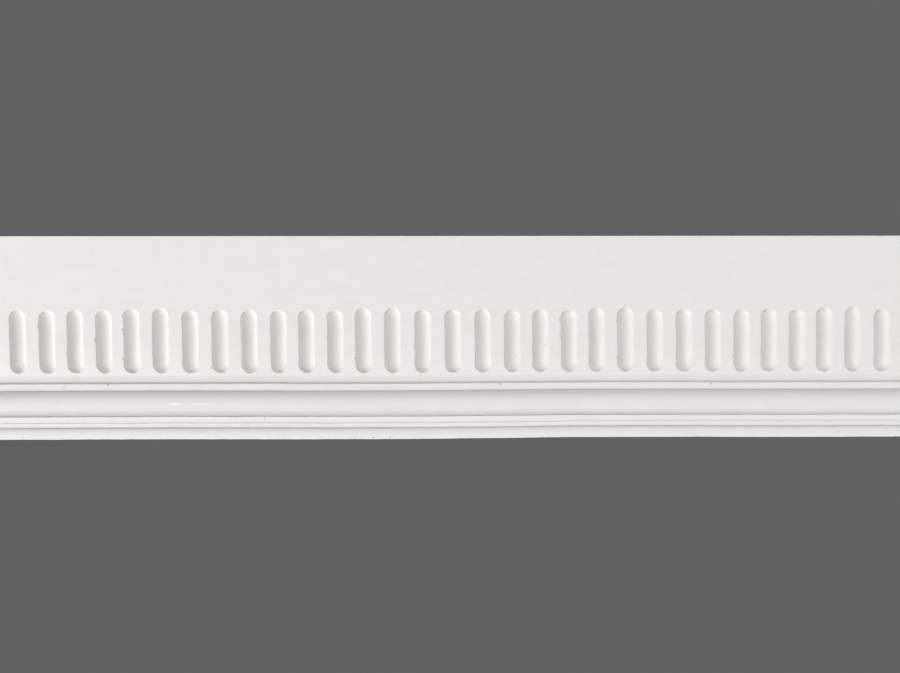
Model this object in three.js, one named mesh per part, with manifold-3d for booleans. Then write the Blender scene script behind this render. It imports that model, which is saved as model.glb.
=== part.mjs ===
// Fluted panel moulding, a run of cast white gypsum plaster.
// Millimetres. The back lies on the plane Y = 0, the face looks along -Y, the run goes along X and Z is up.
// The origin is the middle of the flat back, where the moulding meets the wall.
import * as THREE from 'three';
import { mergeVertices } from 'three/addons/utils/BufferGeometryUtils.js';
import Module from 'manifold-3d';

// The run
const HEIGHT = 100;
const LENGTH = 448;

// The frieze, the flat upper band that carries the flutes
const FRIEZE_PROJECTION = 10;

// The flutes, round-ended and of a circular section, heights measured from the bottom edge
const FLUTE_COUNT = 31;
const FLUTE_PITCH = 14.3;
const FLUTE_WIDTH = 8;
const FLUTE_DEPTH = 3;
const FLUTE_TOP = 63.8;
const FLUTE_BOTTOM = 32.2;

// The master was cut by hand, eight flutes long, so the same small errors come back every eight flutes
const FLUTE_DRIFT = [0.5, 0.6, 0.1, 0, -0.6, -0.6, -0.2, 0.2];
const FLUTE_EXTRA_HEIGHT = [0, -0.3, 0, -0.3, 0.6, 0.7, -0.2, 0];

// On either side of the middle the flutes also stand a little too far out
const SPREAD = 0.95;
const SPREAD_WAVE = 372;
const SPREAD_REACH = 172;

// The mouldings below the frieze step forward as they go down, heights measured from the bottom edge.
// A tilt, in degrees, is how far a curve leans back where it is steepest.
const CAVETTO = { top: 31, bottom: 27.7, rise: 0.5, tilt: 16 };
const UPPER_FILLET = { top: 26.8, bottom: 23.5, ledge: 0.8 };
const CYMA = { top: 23.35, crest: 16.4, turn: 14.4, bottom: 11, ledge: 0.5 };
const CYMA_ROUND = { rise: 2.6, tilt: 45 };
const CYMA_HOLLOW = { rise: 0.85, tilt: 40 };
const MIDDLE_FILLET = { top: 10.65, bottom: 7.95, ledge: 0.6 };
const LOWER_FILLET = { top: 7.7, bottom: 5.65, ledge: 0.35 };
const OVOLO = { top: 5.3, crest: 1.7, ledge: 0.4, rise: 0.9, tilt: 42 };

// How finely the curves are faceted
const CURVE_STEPS = 8;
const FLUTE_SIDES = 24;
const FLUTE_RINGS = 4;

// How far a flute's cutting form stands out of the frieze
const CUTTER_REACH = 3;

const plaster = new THREE.MeshStandardMaterial({ color: 0xebe9e5, roughness: 0.75, metalness: 0 });

const wasm = await Module();
wasm.setup();

// A three.js geometry as a solid that can be joined and cut
function toSolid(geometry) {
  const bare = geometry.clone();
  bare.deleteAttribute('normal');
  bare.deleteAttribute('uv');
  const merged = mergeVertices(bare);
  return new wasm.Manifold(new wasm.Mesh({
    numProp: 3,
    vertProperties: new Float32Array(merged.attributes.position.array),
    triVerts: new Uint32Array(merged.index.array),
  }));
}

// A solid back as a three.js geometry
function toGeometry(solid) {
  const mesh = solid.getMesh();
  const geometry = new THREE.BufferGeometry();
  geometry.setAttribute('position', new THREE.BufferAttribute(mesh.vertProperties, mesh.numProp));
  geometry.setIndex(new THREE.BufferAttribute(mesh.triVerts, 1));
  geometry.computeVertexNormals();
  return geometry;
}

// The moulding's section, drawn as projection from the wall against height above the bottom edge
function section() {
  const outline = new THREE.Shape();
  let projection = FRIEZE_PROJECTION;

  // A ledge steps forward to the top of the next member
  const stepTo = (member) => {
    projection += member.ledge;
    outline.lineTo(projection, member.top);
  };
  // A hollow leaves the surface above it smoothly and leans back more and more
  const hollow = (bottom, { rise, tilt }) => {
    const reach = rise / Math.tan(THREE.MathUtils.degToRad(tilt));
    outline.quadraticCurveTo(projection, bottom + reach, projection + rise, bottom);
    projection += rise;
  };
  // A round starts out leaning back and turns to face the front
  const round = (top, bottom, { rise, tilt }) => {
    const reach = rise / Math.tan(THREE.MathUtils.degToRad(tilt));
    outline.quadraticCurveTo(projection + rise, top - reach, projection + rise, bottom);
    projection += rise;
  };

  outline.moveTo(0, HEIGHT);
  outline.lineTo(projection, HEIGHT);
  outline.lineTo(projection, CAVETTO.top);
  hollow(CAVETTO.bottom, CAVETTO);
  stepTo(UPPER_FILLET);
  outline.lineTo(projection, UPPER_FILLET.bottom);
  stepTo(CYMA);
  round(CYMA.top, CYMA.crest, CYMA_ROUND);
  outline.lineTo(projection, CYMA.turn);
  hollow(CYMA.bottom, CYMA_HOLLOW);
  stepTo(MIDDLE_FILLET);
  outline.lineTo(projection, MIDDLE_FILLET.bottom);
  stepTo(LOWER_FILLET);
  outline.lineTo(projection, LOWER_FILLET.bottom);
  stepTo(OVOLO);
  round(OVOLO.top, OVOLO.crest, OVOLO);
  outline.lineTo(projection, 0);
  outline.lineTo(0, 0);
  outline.closePath();
  return outline;
}

// The section drawn out along the whole run
function run() {
  const geometry = new THREE.ExtrudeGeometry(section(), {
    depth: LENGTH,
    bevelEnabled: false,
    curveSegments: CURVE_STEPS,
  });
  const forward = new THREE.Vector3(0, -1, 0);
  const up = new THREE.Vector3(0, 0, 1);
  const along = new THREE.Vector3(-1, 0, 0);
  geometry.applyMatrix4(new THREE.Matrix4().makeBasis(forward, up, along));
  geometry.translate(LENGTH / 2, 0, 0);
  return toSolid(geometry);
}

// One flute's cutting form: a shallow round dish pulled apart along Z, so that its ends stay round
function fluteCutter(height) {
  const halfWidth = FLUTE_WIDTH / 2;
  const radius = (halfWidth ** 2 + FLUTE_DEPTH ** 2) / (2 * FLUTE_DEPTH);
  const halfAngle = Math.asin(halfWidth / radius);
  const profile = [new THREE.Vector2(0, -CUTTER_REACH), new THREE.Vector2(halfWidth, -CUTTER_REACH)];
  for (let ring = FLUTE_RINGS; ring >= 0; ring -= 1) {
    const angle = halfAngle * ring / FLUTE_RINGS;
    profile.push(new THREE.Vector2(radius * Math.sin(angle), radius * Math.cos(angle) - radius + FLUTE_DEPTH));
  }
  const sideAngle = 2 * Math.PI / FLUTE_SIDES;
  const dish = new THREE.LatheGeometry(profile, FLUTE_SIDES, sideAngle / 2);
  const places = dish.attributes.position;
  const stretch = (height - FLUTE_WIDTH) / 2;
  for (let i = 0; i < places.count; i += 1) {
    const column = Math.floor(i / profile.length);
    const upward = Math.sign(Math.cos(sideAngle * (column + 0.5)));
    places.setZ(i, places.getZ(i) + upward * stretch);
  }
  return dish;
}

// Where a flute stands along the run
function flutePlace(i) {
  const even = (i - (FLUTE_COUNT - 1) / 2) * FLUTE_PITCH;
  const wave = Math.sin(2 * Math.PI * even / SPREAD_WAVE) * Math.exp(-((even / SPREAD_REACH) ** 2));
  return even + SPREAD * wave + FLUTE_DRIFT[i % FLUTE_DRIFT.length];
}

// The fluted frieze is the run with every flute cut out of it
function flutedMoulding() {
  let moulding = run();
  for (let i = 0; i < FLUTE_COUNT; i += 1) {
    const top = FLUTE_TOP + FLUTE_EXTRA_HEIGHT[i % FLUTE_EXTRA_HEIGHT.length];
    const cutter = fluteCutter(top - FLUTE_BOTTOM);
    cutter.translate(flutePlace(i), -FRIEZE_PROJECTION, (top + FLUTE_BOTTOM) / 2);
    moulding = moulding.subtract(toSolid(cutter));
  }
  return moulding;
}

const group = new THREE.Group();
const moulding = new THREE.Mesh(toGeometry(flutedMoulding()), plaster);
moulding.name = 'fluted_moulding';
moulding.position.z = -HEIGHT / 2;
group.add(moulding);

export default group;
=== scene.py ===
"""Fluted panel moulding, a run of cast white gypsum plaster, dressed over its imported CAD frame.

The casting is one closed mesh in the place of the CAD solid. It is built as rows and columns in wall
coordinates: x along the run, height above the bottom edge and projection from the wall. A size is in
millimetres until it is multiplied by MM, unless its comment says metres.
"""
import math
import random

import bmesh
import bpy
from mathutils import Matrix, Quaternion, Vector, noise
from mathutils.bvhtree import BVHTree


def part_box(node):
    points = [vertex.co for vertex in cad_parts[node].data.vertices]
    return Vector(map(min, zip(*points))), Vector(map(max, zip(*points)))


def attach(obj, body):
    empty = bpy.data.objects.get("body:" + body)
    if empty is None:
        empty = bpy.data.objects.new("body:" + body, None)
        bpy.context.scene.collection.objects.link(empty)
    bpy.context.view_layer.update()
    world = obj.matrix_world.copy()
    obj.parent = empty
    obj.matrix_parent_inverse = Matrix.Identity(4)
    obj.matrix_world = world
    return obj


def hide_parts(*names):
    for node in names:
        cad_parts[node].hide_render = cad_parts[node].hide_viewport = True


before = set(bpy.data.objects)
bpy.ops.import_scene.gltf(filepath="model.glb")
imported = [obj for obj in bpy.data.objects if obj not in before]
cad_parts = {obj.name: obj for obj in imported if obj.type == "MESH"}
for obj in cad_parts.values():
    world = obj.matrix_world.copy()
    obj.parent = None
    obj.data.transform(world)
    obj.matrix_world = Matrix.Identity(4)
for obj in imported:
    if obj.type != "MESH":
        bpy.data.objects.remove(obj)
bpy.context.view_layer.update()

NODE = "fluted_moulding"
low, high = (Vector(corner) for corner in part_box(NODE))

MM = 0.001

# The photograph's size, the row of the piece's top edge in it, and what one pixel covers on the band
PHOTO_WIDTH = 900
PHOTO_HEIGHT = 673
TOP_EDGE_ROW = 235.9
PIXEL = 0.4951 * MM

# The camera, in degrees: turned a little, not quite level, and half its angle of view
YAW = -1.36
ROLL = -0.13
HALF_ANGLE = 17.5

# It is aimed a little left of the middle, and sees nothing nearer than a centimetre
AIM_X = -1.18
SENSOR_WIDTH = 36
NEAREST_SEEN = 10 * MM

# The run, from the frame
LENGTH = high.x - low.x
HEIGHT = high.z - low.z
THICKNESS = high.y - low.y

# The band, which falls back a little towards the mouldings
BAND = 10 * MM
BAND_FALL = {"top": 48.5, "depth": 1.2, "power": 2.5}

# The flutes, and the zone of the band that they are set in
FLUTE_COUNT = 31
FLUTE_PITCH = 14.3 * MM
FLUTE_WIDTH = 8 * MM
FLUTE_DEPTH = 3 * MM
FLUTE_TOP = 63.8 * MM
FLUTE_BOTTOM = 32.2 * MM
ZONE_TOP = 66 * MM
ZONE_BOTTOM = 31.3 * MM

# The master was cut by hand, eight flutes long, so the same small errors come back every eight flutes
MASTER = 8
FLUTE_DRIFT = [0.5, 0.6, 0.1, 0, -0.6, -0.6, -0.2, 0.2]
FLUTE_EXTRA_HEIGHT = [0, -0.3, 0, -0.3, 0.6, 0.7, -0.2, 0]

# On either side of the middle the flutes also stand a little too far out
SPREAD = 0.95
SPREAD_WAVE = 372
SPREAD_REACH = 172

# A flute's top leans to the left, most at the left end of the run
LEAN = 0.13
LEAN_GROWTH = -0.0008

# What sets one flute of the master apart from the next: its size, and where the noise for it is read
LEAN_TRAIT = {"size": 0.1, "step": 3.7, "row": 0.5, "seed": 1}
DEPTH_TRAIT = {"size": 0.04, "step": 1.9, "row": 2.5, "seed": 2}

# A flute's outline wanders, in the same way in every cast of the master, and a little for each flute
# alone. The wander fades within its reach. Along and up are how far the noise moves on in a millimetre.
WANDER = 0.16 * MM
WANDER_REACH = 1.8 * MM
WANDER_ALONG = 0.35
WANDER_UP = 0.22
MASTER_WANDER = {"size": 1.3, "step": 9.1, "stretch": 1, "seed": 4}
OWN_WANDER = {"size": 0.35, "step": 5.3, "stretch": 1.6, "seed": 3}

# The mouldings under the band, heights above the bottom edge. A tilt, in degrees, is how far a curve
# leans back where it is steepest. A lean is how far a fillet falls back over its upper half, or the
# ovolo under its crest.
CAVETTO = {"top": 31, "bottom": 27.7, "rise": 0.5, "tilt": 16}
UPPER_FILLET = {"top": 26.8, "bottom": 23.5, "ledge": 1.3, "lean": 0.1}
CYMA = {"top": 23.35, "crest": 16.4, "turn": 14.6, "bottom": 11.2, "ledge": 0.7}
CYMA_ROUND = {"rise": 3.05, "tilt": 51}
CYMA_HOLLOW = {"rise": 1.1, "tilt": 40}
MIDDLE_FILLET = {"top": 10.85, "bottom": 7.95, "ledge": 0.6, "lean": 0.2}
LOWER_FILLET = {"top": 7.7, "bottom": 5.65, "ledge": 0.35, "lean": 0.2}
OVOLO = {"top": 5.3, "crest": 1.7, "ledge": 0.7, "rise": 0.9, "tilt": 42, "lean": 0.1}

# The mouldings rise and sink a little along the run, by a share of the distance below the pivot.
# Above the pivot the casting keeps its lines straight.
PIVOT = 65
SWELL = {"share": 0.006, "crest": -50, "wave": 280, "middle": 20, "reach": 150}

# Unevenness of the surface as waves: size, length along, length up and the noise's seed
LEDGE_WAVES = [(0.1, 23, 9, 5), (0.04, 5, 4, 6)]
FACE_WAVES = [(0.05, 60, 26, 7), (0.012, 11, 9, 8), (0.005, 2.8, 2.8, 9)]
BACK_WAVES = [(0.12, 90, 3.5, 10), (0.05, 9, 7, 11)]

# How far the uneven face and back lie inside the frame's box, and over what depth the back becomes the
# face. The ledges' waves set in over a little height under the flutes.
FACE_INSET = 0.06
BACK_INSET = 0.16
FACE_DEPTH = 4
LEDGE_FADE = 2

# How far apart the sheets of noise for one seed and the next are read
SHEET_GAP = 7.31

# How finely the surface is divided
CURVE_STEPS = 9
CORNER_STEPS = 2
ROW_SPACING = 2.6 * MM
BACK_SPACING = 8 * MM
ARC_STEPS = 12
SIDE_STEPS = 24
GUARD = 0.35 * MM
WELD = 0.002 * MM

# Distances inside a flute's outline where a ring of points runs, outside the outline when negative.
# Two more rings come first, at the cell's edge and halfway.
FLUTE_RINGS = [-0.35, -0.14, 0, 0.12, 0.28, 0.55, 0.95, 1.45, 2, 2.65, 3.3]
ARRIS_RING = 2 + FLUTE_RINGS.index(0)

# Softness of the cast and sawn arrises
ARRIS = 0.16 * MM
BACK_ARRIS = 0.5 * MM
FLUTE_ARRIS = 0.1 * MM
SAWN_ARRIS = 0.15 * MM

# A corner of an outline is rounded unless it is flatter than this. The rounding takes up no more than
# this share of a side, and a side of this many roundings has room for a guard point.
FLAT_CORNER = math.radians(168)
CORNER_SHARE = 0.42
GUARDED_SIDE = 4

# An edge sharper than this is shaded as an edge
SHARP_EDGE = math.radians(32)

# Air bubbles open on the face: x along the run, height above the bottom edge and radius
PINHOLES = [
    (-211.8, 36.3, 0.55),
    (31.7, 40.6, 0.42),
    (45.8, 45.8, 0.4),
    (55.3, 53.8, 0.36),
    (57.4, 50.6, 0.38),
    (118.6, 39.3, 0.5),
    (135.4, 50.3, 0.4),
    (-190.9, 25.7, 0.55),
    (-91.9, 10.5, 0.5),
    (-100, 7.7, 0.45),
    (184.7, 7.8, 0.48),
    (189.8, 2.8, 0.5),
    (-209.3, 1.6, 0.5),
    (33, 97.9, 0.3),
    (38, 96.2, 0.3),
]

# Nicks in the ledges and edges: x, height, length, width and slant in degrees, right end down
NICKS = [
    (-169.3, 26.8, 1.4, 0.75, 0),
    (-52.4, 27, 1.2, 0.65, 0),
    (23.2, 26.7, 2.5, 0.75, 35),
    (128.6, 26.6, 2.1, 0.75, 40),
    (-47.7, 0.7, 1, 0.8, 0),
    (-38.9, 0.7, 0.9, 0.8, 0),
    (-30.9, 0.7, 1, 0.8, 0),
    (123.6, 99.4, 1.2, 0.6, 0),
    (139.1, 99.4, 1, 0.6, 0),
]

# Bites out of the left arrises of the flutes: flute, counted from 0 at the left, height, length and
# reach
CHIPS = [
    (1, 55.8, 1.3, 0.65),
    (3, 49, 2.2, 0.8),
    (4, 60.7, 1.5, 0.7),
    (4, 54.1, 1.7, 0.85),
    (4, 39.5, 1.4, 0.7),
    (7, 43.6, 1.2, 0.65),
    (7, 35.2, 1.5, 0.7),
    (8, 56.8, 1.2, 0.5),
    (12, 39.7, 1.4, 0.65),
    (14, 45.3, 1.2, 0.5),
    (19, 58.2, 4.2, 0.8),
    (19, 51.3, 3, 0.6),
    (21, 57.4, 1.7, 0.8),
    (21, 39.8, 1.5, 0.65),
    (25, 40.2, 1.4, 0.65),
]

# Crumbs of plaster stuck to the face: x, height and radius
CRUMBS = [
    (-174.6, 32, 0.3),
    (-82.9, 35.3, 0.32),
]

# Bubbles in the hidden sides: how many, their least and greatest radius and the gap between two of
# them. The margins are how far they keep from the edges.
BACK_BUBBLES = {"count": 54, "least": 0.3, "greatest": 1.1, "gap": 3}
END_BUBBLES = {"count": 7, "least": 0.2, "greatest": 0.55, "gap": 2}
MARGIN = 4 * MM
END_MARGIN = 1.5 * MM

# The little balls that pits, chips and crumbs are made from
BALL_DIVISIONS = 2
BALL_ROUGHNESS = 0.35
BALL_GRAIN = 1.7
BALL_SEED = 12

# The plaster's colours: clean, clouded, and a painted shade, darker where the surface sinks into the flutes
# or turns away from the front
PALE = (0.853, 0.837, 0.814)
DULL = (0.835, 0.819, 0.795)
PAINTED_SHADE = (0.804, 0.788, 0.759)

# Faint marks on the face, the first three being a painted highlight streak along the cyma's crest: x,
# height, half width, half height, colour and strength
MARKS_AND_HIGHLIGHT = [
    (-136.5, 17.5, 4.6, 0.65, (0.98, 0.975, 0.96), 1),
    (-124, 17.2, 8.5, 0.55, (0.98, 0.975, 0.96), 0.5),
    (-108.5, 17.3, 6.5, 0.55, (0.95, 0.94, 0.92), 0.5),
    (-90.9, 79.7, 4, 2.6, (0.79, 0.8, 0.8), 0.35),
    (-48.9, 65.2, 0.5, 3, (0.76, 0.75, 0.73), 0.4),
    (-177.1, 92.3, 0.7, 0.6, (0.66, 0.65, 0.62), 0.45),
    (-217.1, 79.1, 0.7, 0.6, (0.66, 0.65, 0.62), 0.45),
    (181, 20.8, 2.2, 0.35, (0.74, 0.73, 0.71), 0.5),
]

# Where one look passes into another: the clouds, the Y and the facing where the painted shade sets in, a
# mark from its middle outwards, the gloss, and a side that turns to face squarely one way
CLOUD_EDGE = (0.35, 0.65)
PAINTED_SHADE_DEPTH = (-8.8 * MM, -7.6 * MM)
PAINTED_SHADE_FACING = (-0.99, -0.72)
MARK_EDGE = (0.3, 1.1)
GLOSS_EDGE = (0.2, 0.8)
SQUARE_ON = (0.8, 0.95)

# Clouds of noise: scale, detail, roughness and stretch along each axis
CLOUDING = (180, 6, 0.5, (2, 1, 1))
GLOSS_CLOUDS = (120, 3, 0.5, (1, 1, 1))
TOOTH = (2200, 4, 0.6, (1, 1, 1))
LUMPS = (420, 3, 0.5, (1, 1, 1))
SCRAPER_LINES = (900, 3, 0.6, (60, 1, 1))
SAW_LINES = (1400, 3, 0.6, (1, 1, 50))

# Relief too fine for the mesh: how deep it is and how strongly it shows
TOOTH_RELIEF = (0.02, 0.35)
LUMP_RELIEF = (0.05, 0.45)
SCRAPER_RELIEF = (0.15, 0.5)
SAW_RELIEF = (0.12, 0.5)

# How rough the plaster is, from its smoothest patches to its roughest, and how much it shines
ROUGHNESS = (0.64, 0.84)
SHINE = 0.3

# The lights: name, degrees off the front, degrees turned from the left towards the floor, distance and
# size in metres, and power in watts
LIGHTS = [
    ("key", 58, 20, 1.6, 1, 23.4),
    ("low", 82, 60, 1.6, 0.64, 7.8),
    ("fill", 30, 200, 1, 0.7, 5.3),
    ("rear", 125, 250, 1.8, 1.2, 26),
]

# The surround's grey in front of the piece and behind it, and the Y of the directions between which it
# changes
GREY_IN_FRONT = 0.05
GREY_BEHIND = 0.1195
GREY_CHANGE = (0.1, 0.75)

# The floor, in metres
FLOOR_SIZE = 6
FLOOR_LEVEL = -1.35
FLOOR_COLOUR = (0.7, 0.7, 0.69)
FLOOR_ROUGHNESS = 0.9

# Every random draw follows from this
SEED = 5
random.seed(SEED)


def plane(x, y):
    """A point of a drawing: height and projection in the section, x and height on the face."""
    return Vector((x, y))


def clamp(value):
    """A value kept between 0 and 1."""
    return max(0, min(1, value))


def bezier(start, control, end, steps):
    """The points after start of a quadratic curve."""
    points = []
    for k in range(1, steps + 1):
        t = k / steps
        points.append(start.lerp(control, t).lerp(control.lerp(end, t), t))
    return points


def soften(points, radius):
    """Rounds each corner of an outline and puts a guard point on both sides of it."""
    out = [points[0]]
    for before, corner, after in zip(points, points[1:], points[2:]):
        back = before - corner
        ahead = after - corner
        if back.angle(ahead) > FLAT_CORNER:
            out.append(corner)
            continue
        start = corner + back.normalized() * min(radius, back.length * CORNER_SHARE)
        end = corner + ahead.normalized() * min(radius, ahead.length * CORNER_SHARE)
        if back.length > GUARDED_SIDE * radius:
            out.append(start + back.normalized() * GUARD)
        out.append(start)
        out += bezier(start, corner, end, CORNER_STEPS)
        if ahead.length > GUARDED_SIDE * radius:
            out.append(end + ahead.normalized() * GUARD)
    out.append(points[-1])
    return out


def refine(points, spacing):
    """Divides the long steps of an outline."""
    out = [points[0]]
    for a, b in zip(points, points[1:]):
        parts = max(1, math.ceil((b - a).length / spacing))
        for k in range(1, parts + 1):
            out.append(a.lerp(b, k / parts))
    return out


def band_face(height):
    """Projection of the band at a height."""
    fall = (BAND_FALL["top"] * MM - height) / ((BAND_FALL["top"] - CAVETTO["top"]) * MM)
    return BAND - BAND_FALL["depth"] * MM * clamp(fall) ** BAND_FALL["power"]


def lower_outline():
    """The members under the flutes, from the band down to the bottom edge."""
    projection = band_face(CAVETTO["top"] * MM)
    outline = [plane(ZONE_BOTTOM, band_face(ZONE_BOTTOM)), plane(CAVETTO["top"] * MM, projection)]

    def hollow(bottom, curve):
        nonlocal projection
        rise = curve["rise"] * MM
        control = plane(bottom * MM + rise / math.tan(math.radians(curve["tilt"])), projection)
        projection += rise
        outline.extend(bezier(outline[-1], control, plane(bottom * MM, projection), CURVE_STEPS))

    def round_over(bottom, curve):
        nonlocal projection
        rise = curve["rise"] * MM
        projection += rise
        control = plane(outline[-1].x - rise / math.tan(math.radians(curve["tilt"])), projection)
        outline.extend(bezier(outline[-1], control, plane(bottom * MM, projection), CURVE_STEPS))

    def step_to(member):
        nonlocal projection
        projection += member["ledge"] * MM
        outline.append(plane(member["top"] * MM, projection))

    def fillet(member):
        nonlocal projection
        step_to(member)
        projection -= member["lean"] * MM
        middle = (member["top"] + member["bottom"]) / 2
        outline.append(plane(middle * MM, projection))
        outline.append(plane(member["bottom"] * MM, projection))

    hollow(CAVETTO["bottom"], CAVETTO)
    fillet(UPPER_FILLET)
    step_to(CYMA)
    round_over(CYMA["crest"], CYMA_ROUND)
    outline.append(plane(CYMA["turn"] * MM, projection))
    hollow(CYMA["bottom"], CYMA_HOLLOW)
    fillet(MIDDLE_FILLET)
    fillet(LOWER_FILLET)
    step_to(OVOLO)
    round_over(OVOLO["crest"], OVOLO)
    outline.append(plane(0, projection - OVOLO["lean"] * MM))
    return outline


def section_rows():
    """Every row of the casting outside the flutes, from under them round the back to above them."""
    wall_side = plane(0, THICKNESS / 2)
    front = refine(soften(lower_outline() + [wall_side], ARRIS), ROW_SPACING)
    shell = [wall_side, plane(0, 0), plane(HEIGHT, 0), plane(HEIGHT, BAND / 2)]
    back = refine(soften(shell, BACK_ARRIS), BACK_SPACING)
    band = [plane(HEIGHT, BAND / 2), plane(HEIGHT, BAND), plane(ZONE_TOP, BAND)]
    top = refine(soften(band, ARRIS), ROW_SPACING)
    return front + back[1:] + top[1:]


def flute_places():
    """Centre, top and bottom of each flute."""
    places = []
    for i in range(FLUTE_COUNT):
        even = (i - (FLUTE_COUNT - 1) / 2) * FLUTE_PITCH / MM
        wave = math.sin(math.tau * even / SPREAD_WAVE) * math.exp(-(even / SPREAD_REACH) ** 2)
        x = (even + SPREAD * wave + FLUTE_DRIFT[i % MASTER]) * MM
        top = FLUTE_TOP + FLUTE_EXTRA_HEIGHT[i % MASTER] * MM
        places.append((x, top, FLUTE_BOTTOM))
    return places


def cell_edges(places):
    """The x between each flute and the next."""
    edges = [places[0][0] - FLUTE_PITCH / 2]
    for a, b in zip(places, places[1:]):
        edges.append((a[0] + b[0]) / 2)
    edges.append(places[-1][0] + FLUTE_PITCH / 2)
    return edges


def columns(edges):
    """The x of every column, fine across the flutes and with a soft arris at each sawn end."""
    xs = [-LENGTH / 2, -LENGTH / 2 + GUARD]
    for a, b in zip(edges, edges[1:]):
        xs += [a + (b - a) * k / ARC_STEPS for k in range(ARC_STEPS)]
    return xs + [edges[-1], LENGTH / 2 - GUARD, LENGTH / 2]


def groove(distance, depth):
    """Depth of a flute at a distance inside its outline, with its arris rounded."""
    half = FLUTE_WIDTH / 2
    radius = (half ** 2 + depth ** 2) / (2 * depth)
    if distance >= 0:
        across = half - distance
        sunk = math.sqrt(radius ** 2 - across ** 2) - (radius - depth)
    else:
        sunk = distance * half / math.sqrt(radius ** 2 - half ** 2)
    return (sunk + math.sqrt(sunk ** 2 + FLUTE_ARRIS ** 2)) / 2


def around(width, bottom, top, centre):
    """A round-ended outline as (point, outward direction), from the foot of its right side upwards."""
    half = width / 2
    lower = bottom + half
    upper = top - half
    ring = []
    for k in range(SIDE_STEPS):
        ring.append((plane(centre + half, lower + (upper - lower) * k / SIDE_STEPS), plane(1, 0)))
    for k in range(ARC_STEPS):
        turn = math.pi * k / ARC_STEPS
        out = plane(math.cos(turn), math.sin(turn))
        ring.append((plane(centre, upper) + out * half, out))
    for k in range(SIDE_STEPS):
        ring.append((plane(centre - half, upper + (lower - upper) * k / SIDE_STEPS), plane(-1, 0)))
    for k in range(ARC_STEPS):
        turn = math.pi * (1 + k / ARC_STEPS)
        out = plane(math.cos(turn), math.sin(turn))
        ring.append((plane(centre, lower) + out * half, out))
    return ring


def frame_ring(left, right):
    """The cell around a flute, with as many points as the flute's outline."""
    ring = []
    for k in range(SIDE_STEPS):
        ring.append(plane(right, ZONE_BOTTOM + (ZONE_TOP - ZONE_BOTTOM) * k / SIDE_STEPS))
    for k in range(ARC_STEPS):
        ring.append(plane(right + (left - right) * k / ARC_STEPS, ZONE_TOP))
    for k in range(SIDE_STEPS):
        ring.append(plane(left, ZONE_TOP + (ZONE_BOTTOM - ZONE_TOP) * k / SIDE_STEPS))
    for k in range(ARC_STEPS):
        ring.append(plane(left + (right - left) * k / ARC_STEPS, ZONE_BOTTOM))
    return ring


def ripple(x, y, seed):
    """Smooth noise from about -1 to 1, another sheet of it for each seed."""
    return noise.noise(Vector((x, y, seed * SHEET_GAP)))


def uneven(waves, x, y):
    """The sum of some waves at a place."""
    return sum(size * ripple(x / along, y / up, seed) for size, along, up, seed in waves)


def trait(kind, pattern):
    """What one flute of the master has of its own."""
    return pattern["size"] * ripple(kind * pattern["step"], pattern["row"], pattern["seed"])


def flute_wander(outline, centre, index):
    """How far each point of a flute's outline has wandered outwards."""
    wander = []
    for point, _ in outline:
        along = (point.x - centre) * WANDER_ALONG / MM
        up = point.y * WANDER_UP / MM
        total = 0
        for number, pattern in ((index % MASTER, MASTER_WANDER), (index, OWN_WANDER)):
            place = (along + number * pattern["step"], up * pattern["stretch"], pattern["seed"])
            total += pattern["size"] * ripple(*place)
        wander.append(WANDER * total)
    return wander


def flute_rings(index, place, left, right):
    """Rings of (x, height, projection) from the cell's edge to the middle of the flute."""
    centre, top, bottom = place
    kind = index % MASTER
    lean = (LEAN + LEAN_GROWTH * centre / MM + trait(kind, LEAN_TRAIT)) * MM
    depth = FLUTE_DEPTH * (1 + trait(kind, DEPTH_TRAIT))
    middle = (top + bottom) / 2
    outline = around(FLUTE_WIDTH, bottom, top, centre)
    edge = frame_ring(left, right)
    wander = flute_wander(outline, centre, index)

    def spot(x, height, sunk):
        leaning = x - lean * (height - middle) / (top - middle)
        return leaning, height, band_face(height) - sunk

    rings = [[(p.x, p.y, band_face(p.y)) for p in edge]]
    halfway = [start.lerp(point, 0.5) for start, (point, _) in zip(edge, outline)]
    rings.append([(p.x, p.y, band_face(p.y)) for p in halfway])
    for inside in FLUTE_RINGS:
        fade = math.exp(-(inside * MM / WANDER_REACH) ** 2)
        sunk = groove(inside * MM, depth)
        moved = [point + out * (shift * fade - inside * MM) for (point, out), shift in zip(outline, wander)]
        rings.append([spot(p.x, p.y, sunk) for p in moved])
    spine = [point - out * (FLUTE_WIDTH / 2) for point, out in outline]
    rings.append([spot(p.x, p.y, depth) for p in spine])
    return rings


def place_on_casting(x, height, projection):
    """A nominal point moved by the unevenness of the casting, as a point of the frame."""
    along = x / MM
    up = height / MM
    # The mouldings rise and sink a little along the run
    swell = math.cos(math.tau * (along - SWELL["crest"]) / SWELL["wave"])
    swell *= math.exp(-((along - SWELL["middle"]) / SWELL["reach"]) ** 2)
    up += max(0, PIVOT - up) * SWELL["share"] * (1 - swell)
    # The ledges wander a little in height
    front = clamp(projection / (FACE_DEPTH * MM))
    under = clamp((ZONE_BOTTOM / MM - up) / LEDGE_FADE)
    up += under * front * uneven(LEDGE_WAVES, along, up)
    # The face is slightly uneven, and the struck back more so
    face = FACE_INSET - uneven(FACE_WAVES, along, up)
    struck = BACK_INSET + uneven(BACK_WAVES, along, up)
    inward = front * face - (1 - front) * struck
    y = -(projection / MM - inward)
    spot = Vector((x, y * MM, low.z + up * MM))
    # The ends are sawn square and their arrises rubbed
    if abs(x) > LENGTH / 2 - GUARD / 2:
        middle = (low + high) / 2
        spot.y = middle.y + (spot.y - middle.y) * (1 - 2 * SAWN_ARRIS / THICKNESS)
        spot.z = middle.z + (spot.z - middle.z) * (1 - 2 * SAWN_ARRIS / HEIGHT)
    spot.y = min(high.y, max(low.y, spot.y))
    spot.z = min(high.z, max(low.z, spot.z))
    return spot


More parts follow.
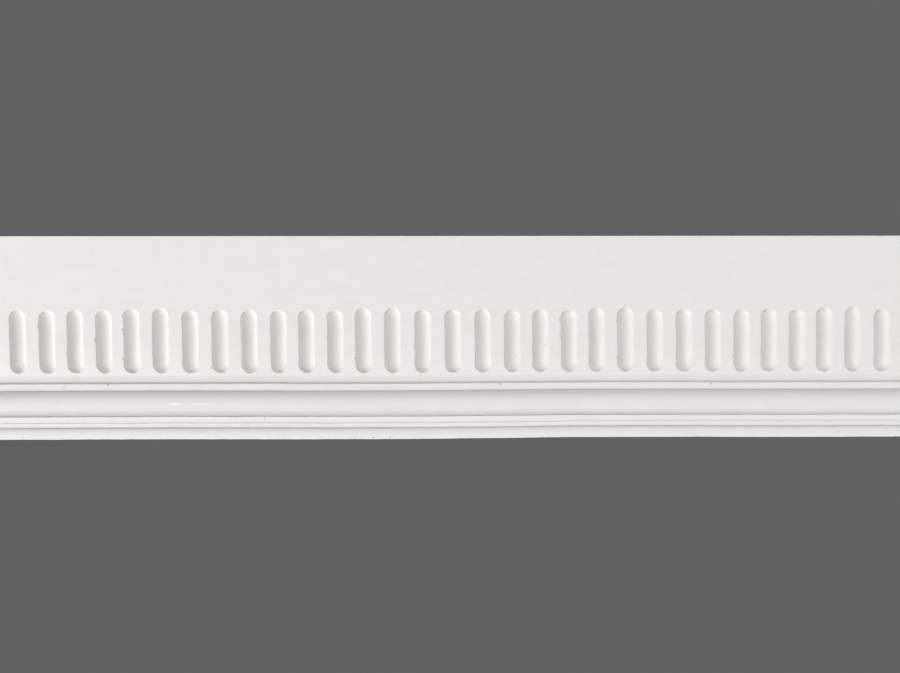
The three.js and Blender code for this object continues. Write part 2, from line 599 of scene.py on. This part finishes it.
def casting_mesh():
    """The whole casting as one closed mesh, and the left arris of each flute as a row of points."""
    places = flute_places()
    arrises = []
    edges = cell_edges(places)
    xs = columns(edges)
    rows = section_rows()
    mesh = bmesh.new()

    def add(x, height, projection):
        return mesh.verts.new(place_on_casting(x, height, projection))

    grid = [[add(x, row.x, row.y) for x in xs] for row in rows]
    for upper, lower in zip(grid, grid[1:]):
        for i in range(len(xs) - 1):
            mesh.faces.new((upper[i], lower[i], lower[i + 1], upper[i + 1]))

    for index, place in enumerate(places):
        rings = flute_rings(index, place, edges[index], edges[index + 1])
        made = [[add(*point) for point in ring] for ring in rings]
        for outer, inner in zip(made, made[1:]):
            for i in range(len(outer)):
                j = (i + 1) % len(outer)
                mesh.faces.new((outer[i], outer[j], inner[j], inner[i]))
        left_side = made[ARRIS_RING][SIDE_STEPS + ARC_STEPS:2 * SIDE_STEPS + ARC_STEPS]
        arrises.append([vert.co.copy() for vert in left_side])

    # Plain strips of band between the outermost flutes and the ends
    for first, last in ((0, 2), (len(xs) - 3, len(xs) - 1)):
        levels = [ZONE_BOTTOM + (ZONE_TOP - ZONE_BOTTOM) * k / SIDE_STEPS for k in range(SIDE_STEPS + 1)]
        strip = [[add(xs[i], level, band_face(level)) for i in range(first, last + 1)] for level in levels]
        for lower, upper in zip(strip, strip[1:]):
            for i in range(last - first):
                mesh.faces.new((lower[i], lower[i + 1], upper[i + 1], upper[i]))

    bmesh.ops.remove_doubles(mesh, verts=mesh.verts, dist=WELD)
    rim = [edge for edge in mesh.edges if edge.is_boundary]
    caps = bmesh.ops.holes_fill(mesh, edges=rim, sides=0)
    bmesh.ops.recalc_face_normals(mesh, faces=mesh.faces)
    bmesh.ops.triangulate(mesh, faces=caps["faces"], ngon_method="EAR_CLIP")
    return mesh, arrises


def blob(mesh, centre, half, slant=0):
    """Adds a rough little ball of three half sizes: along the run, in depth and in height."""
    turn = Matrix.Rotation(math.radians(slant), 4, "Y")
    shape = Matrix.Translation(centre) @ turn @ Matrix.Diagonal((*half, 1))
    ball = bmesh.ops.create_icosphere(mesh, subdivisions=BALL_DIVISIONS, radius=1, matrix=shape)
    for vert in ball["verts"]:
        bump = ripple(vert.co.x * BALL_GRAIN / MM, vert.co.z * BALL_GRAIN / MM, BALL_SEED)
        vert.co += (vert.co - centre) * BALL_ROUGHNESS * bump


def scattered(bubbles, reach, rise):
    """Random places for bubbles within a reach of the middle each way, at least their gap apart."""
    places = []
    while len(places) < bubbles["count"]:
        place = Vector((random.uniform(-reach, reach), random.uniform(-rise, rise)))
        if all((place - other).length > bubbles["gap"] * MM for other in places):
            places.append(place)
    return places


def bubble_size(least, greatest):
    """A random radius, small ones being the most common."""
    return (least + (greatest - least) * random.random() ** 3) * MM


def wear(mesh, arrises):
    """Little balls to cut out of the casting where it is pitted and chipped, and others to join on."""
    tree = BVHTree.FromBMesh(mesh)
    pits = bmesh.new()
    crumbs = bmesh.new()

    def face_spot(x, height):
        start = Vector((x * MM, low.y - THICKNESS, low.z + height * MM))
        return tree.ray_cast(start, Vector((0, 1, 0)))[0]

    def pit_from(start, way, bubbles):
        size = bubble_size(bubbles["least"], bubbles["greatest"])
        blob(pits, tree.ray_cast(start, way)[0], [size] * 3)

    for x, height, radius in PINHOLES:
        blob(pits, face_spot(x, height), [radius * MM] * 3)
    for x, height, length, width, slant in NICKS:
        half = (length / 2 * MM, width * MM, width / 2 * MM)
        blob(pits, face_spot(x, height), half, slant)
    for flute, height, length, reach in CHIPS:
        level = low.z + height * MM
        nearest = min(arrises[flute], key=lambda point: abs(point.z - level))
        blob(pits, Vector((nearest.x, nearest.y, level)), (reach * MM, reach * MM, length / 2 * MM))
    for x, height, radius in CRUMBS:
        blob(crumbs, face_spot(x, height), [radius * MM] * 3)

    rise = HEIGHT / 2 - MARGIN
    for place in scattered(BACK_BUBBLES, LENGTH / 2 - MARGIN, rise):
        pit_from(Vector((place.x, THICKNESS, place.y)), Vector((0, -1, 0)), BACK_BUBBLES)
    for side in (-1, 1):
        for place in scattered(END_BUBBLES, BAND / 2 - END_MARGIN, rise):
            start = Vector((side * LENGTH, place.x - BAND / 2, place.y))
            pit_from(start, Vector((-side, 0, 0)), END_BUBBLES)
    return pits, crumbs


def finish_mesh(mesh, name):
    """An object with smooth faces from a mesh being built."""
    data = bpy.data.meshes.new(name)
    mesh.to_mesh(data)
    mesh.free()
    for face in data.polygons:
        face.use_smooth = True
    piece = bpy.data.objects.new(name, data)
    bpy.context.scene.collection.objects.link(piece)
    return piece


def combine(piece, mesh, operation):
    """Cuts a mesh out of the piece or joins it on."""
    tool = finish_mesh(mesh, "tool")
    modifier = piece.modifiers.new("tool", "BOOLEAN")
    modifier.operation = operation
    modifier.solver = "MANIFOLD"
    modifier.object = tool
    piece.modifiers.new("weld", "WELD").merge_threshold = WELD
    graph = bpy.context.evaluated_depsgraph_get()
    piece.data = bpy.data.meshes.new_from_object(piece.evaluated_get(graph))
    piece.data.materials.clear()
    piece.modifiers.clear()
    bpy.data.objects.remove(tool)


def plaster():
    """Dry white gypsum plaster, warm by a trace: faint clouding and marks, a painted highlight streak,
    painted shade in the flutes and where it turns from the front, a fine tooth, scraper lines on the back
    and saw lines on the ends."""
    material = bpy.data.materials.new("plaster")
    material.use_nodes = True
    nodes = material.node_tree.nodes
    links = material.node_tree.links
    shader = nodes["Principled BSDF"]
    place = nodes.new("ShaderNodeTexCoord")
    where = nodes.new("ShaderNodeSeparateXYZ")
    links.new(place.outputs["Object"], where.inputs["Vector"])
    facing = nodes.new("ShaderNodeSeparateXYZ")
    links.new(place.outputs["Normal"], facing.inputs["Vector"])

    def counted(centre, reach):
        """The place on the casting, counted from a centre in units of a reach."""
        mapping = nodes.new("ShaderNodeMapping")
        mapping.vector_type = "TEXTURE"
        mapping.inputs["Location"].default_value = centre
        mapping.inputs["Scale"].default_value = reach
        links.new(place.outputs["Object"], mapping.inputs["Vector"])
        return mapping.outputs["Vector"]

    def cloud(scale, detail, roughness, stretch):
        """Noise from 0 to 1."""
        texture = nodes.new("ShaderNodeTexNoise")
        texture.inputs["Scale"].default_value = scale
        texture.inputs["Detail"].default_value = detail
        texture.inputs["Roughness"].default_value = roughness
        links.new(counted((0, 0, 0), stretch), texture.inputs["Vector"])
        return texture.outputs["Fac"]

    def span(value, limits, least=0, most=1):
        """A value carried smoothly from one range over to another."""
        fit = nodes.new("ShaderNodeMapRange")
        fit.interpolation_type = "SMOOTHSTEP"
        fit.inputs["From Min"].default_value = limits[0]
        fit.inputs["From Max"].default_value = limits[1]
        fit.inputs["To Min"].default_value = least
        fit.inputs["To Max"].default_value = most
        links.new(value, fit.inputs["Value"])
        return fit.outputs["Result"]

    def calculate(operation, *values):
        """One sum with values from other nodes."""
        node = nodes.new("ShaderNodeMath")
        node.operation = operation
        for value, socket in zip(values, node.inputs):
            links.new(value, socket)
        return node.outputs["Value"]

    def tint(under, colour, amount):
        """A colour laid over another by an amount."""
        mix = nodes.new("ShaderNodeMixRGB")
        mix.inputs["Color2"].default_value = (*colour, 1)
        links.new(under, mix.inputs["Color1"])
        links.new(amount, mix.inputs["Fac"])
        return mix.outputs["Color"]

    def relief(height, amount, below=None):
        """Relief of a depth and strength, on top of what is below."""
        depth, strength = amount
        bump = nodes.new("ShaderNodeBump")
        bump.inputs["Strength"].default_value = strength
        bump.inputs["Distance"].default_value = depth * MM
        links.new(height, bump.inputs["Height"])
        if below:
            links.new(below, bump.inputs["Normal"])
        return bump.outputs["Normal"]

    clean = nodes.new("ShaderNodeRGB")
    clean.outputs["Color"].default_value = (*PALE, 1)
    colour = tint(clean.outputs["Color"], DULL, span(cloud(*CLOUDING), CLOUD_EDGE))
    # Painted shade: darker inside the flutes and where the surface turns away from the front
    sunk = span(where.outputs["Y"], PAINTED_SHADE_DEPTH)
    turned = span(facing.outputs["Y"], PAINTED_SHADE_FACING)
    colour = tint(colour, PAINTED_SHADE, calculate("MAXIMUM", sunk, turned))
    # Faint marks, and the painted highlight streak along the cyma's crest
    for x, height, across, up, shade, strength in MARKS_AND_HIGHLIGHT:
        centre = (x * MM, -BAND, low.z + height * MM)
        inside = nodes.new("ShaderNodeVectorMath")
        inside.operation = "LENGTH"
        links.new(counted(centre, (across * MM, 2 * BAND, up * MM)), inside.inputs[0])
        colour = tint(colour, shade, span(inside.outputs["Value"], MARK_EDGE, strength, 0))
    links.new(colour, shader.inputs["Base Color"])
    links.new(span(cloud(*GLOSS_CLOUDS), GLOSS_EDGE, *ROUGHNESS), shader.inputs["Roughness"])

    on_back = span(facing.outputs["Y"], SQUARE_ON)
    on_ends = span(calculate("ABSOLUTE", facing.outputs["X"]), SQUARE_ON)
    scraped = calculate("MULTIPLY", cloud(*SCRAPER_LINES), on_back)
    sawn = calculate("MULTIPLY", cloud(*SAW_LINES), on_ends)
    normal = relief(cloud(*TOOTH), TOOTH_RELIEF)
    normal = relief(cloud(*LUMPS), LUMP_RELIEF, normal)
    normal = relief(scraped, SCRAPER_RELIEF, normal)
    normal = relief(sawn, SAW_RELIEF, normal)
    links.new(normal, shader.inputs["Normal"])

    shader.inputs["Specular IOR Level"].default_value = SHINE
    return material


def area_light(name, off_front, turned, distance, size, power):
    """A square light aimed at the origin, off the front by an angle and turned about it, from the
    left towards the floor."""
    lamp = bpy.data.lights.new(name, "AREA")
    lamp.shape = "SQUARE"
    lamp.size = size
    lamp.energy = power
    holder = bpy.data.objects.new(name, lamp)
    tilt = math.radians(off_front)
    turn = math.radians(turned)
    offset = Vector((-math.sin(tilt) * math.cos(turn), -math.cos(tilt), -math.sin(tilt) * math.sin(turn)))
    holder.location = offset * distance
    holder.rotation_mode = "QUATERNION"
    holder.rotation_quaternion = (-offset).to_track_quat("-Z", "Y")
    bpy.context.scene.collection.objects.link(holder)


def surround():
    """Plain grey all round, darker in front of the piece than behind it."""
    world = bpy.data.worlds.new("surround")
    bpy.context.scene.world = world
    world.use_nodes = True
    nodes = world.node_tree.nodes
    links = world.node_tree.links
    way = nodes.new("ShaderNodeTexCoord")
    split = nodes.new("ShaderNodeSeparateXYZ")
    links.new(way.outputs["Generated"], split.inputs["Vector"])
    shade = nodes.new("ShaderNodeMapRange")
    shade.interpolation_type = "SMOOTHSTEP"
    shade.inputs["From Min"].default_value = GREY_CHANGE[0]
    shade.inputs["From Max"].default_value = GREY_CHANGE[1]
    shade.inputs["To Min"].default_value = GREY_IN_FRONT
    shade.inputs["To Max"].default_value = GREY_BEHIND
    links.new(split.outputs["Y"], shade.inputs["Value"])
    links.new(shade.outputs["Result"], nodes["Background"].inputs["Color"])


def pale_floor():
    """A pale floor well below the piece."""
    bpy.ops.mesh.primitive_plane_add(size=FLOOR_SIZE, location=(0, 0, FLOOR_LEVEL))
    floor = bpy.context.object
    floor.name = "floor"
    pale = bpy.data.materials.new("pale_floor")
    pale.use_nodes = True
    shader = pale.node_tree.nodes["Principled BSDF"]
    shader.inputs["Base Color"].default_value = (*FLOOR_COLOUR, 1)
    shader.inputs["Roughness"].default_value = FLOOR_ROUGHNESS
    floor.data.materials.append(pale)


def camera():
    """The photograph's view: nearly straight at the band, a trace from the left and not quite level."""
    yaw = math.radians(YAW)
    half_angle = math.radians(HALF_ANGLE)
    distance = PHOTO_WIDTH / 2 * PIXEL / math.tan(half_angle)
    aim = Vector((AIM_X * MM, -BAND, high.z - (PHOTO_HEIGHT / 2 - TOP_EDGE_ROW) * PIXEL))
    lens = bpy.data.cameras.new("camera")
    lens.sensor_width = SENSOR_WIDTH
    lens.lens = lens.sensor_width / 2 / math.tan(half_angle)
    lens.clip_start = NEAREST_SEEN
    holder = bpy.data.objects.new("camera", lens)
    bpy.context.scene.collection.objects.link(holder)
    holder.location = aim + Vector((math.sin(yaw), -math.cos(yaw), 0)) * distance
    level = (aim - holder.location).to_track_quat("-Z", "Y")
    holder.rotation_mode = "QUATERNION"
    holder.rotation_quaternion = level @ Quaternion((0, 0, 1), math.radians(ROLL))
    bpy.context.scene.camera = holder


body, flute_arrises = casting_mesh()
pits, crumbs = wear(body, flute_arrises)
casting = finish_mesh(body, "casting")
combine(casting, pits, "DIFFERENCE")
combine(casting, crumbs, "UNION")
casting.data.set_sharp_from_angle(angle=SHARP_EDGE)
casting.data.materials.append(plaster())
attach(casting, "root")
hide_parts(NODE)

for light in LIGHTS:
    area_light(*light)
surround()
pale_floor()
camera()
bpy.context.scene.view_settings.view_transform = "Standard"
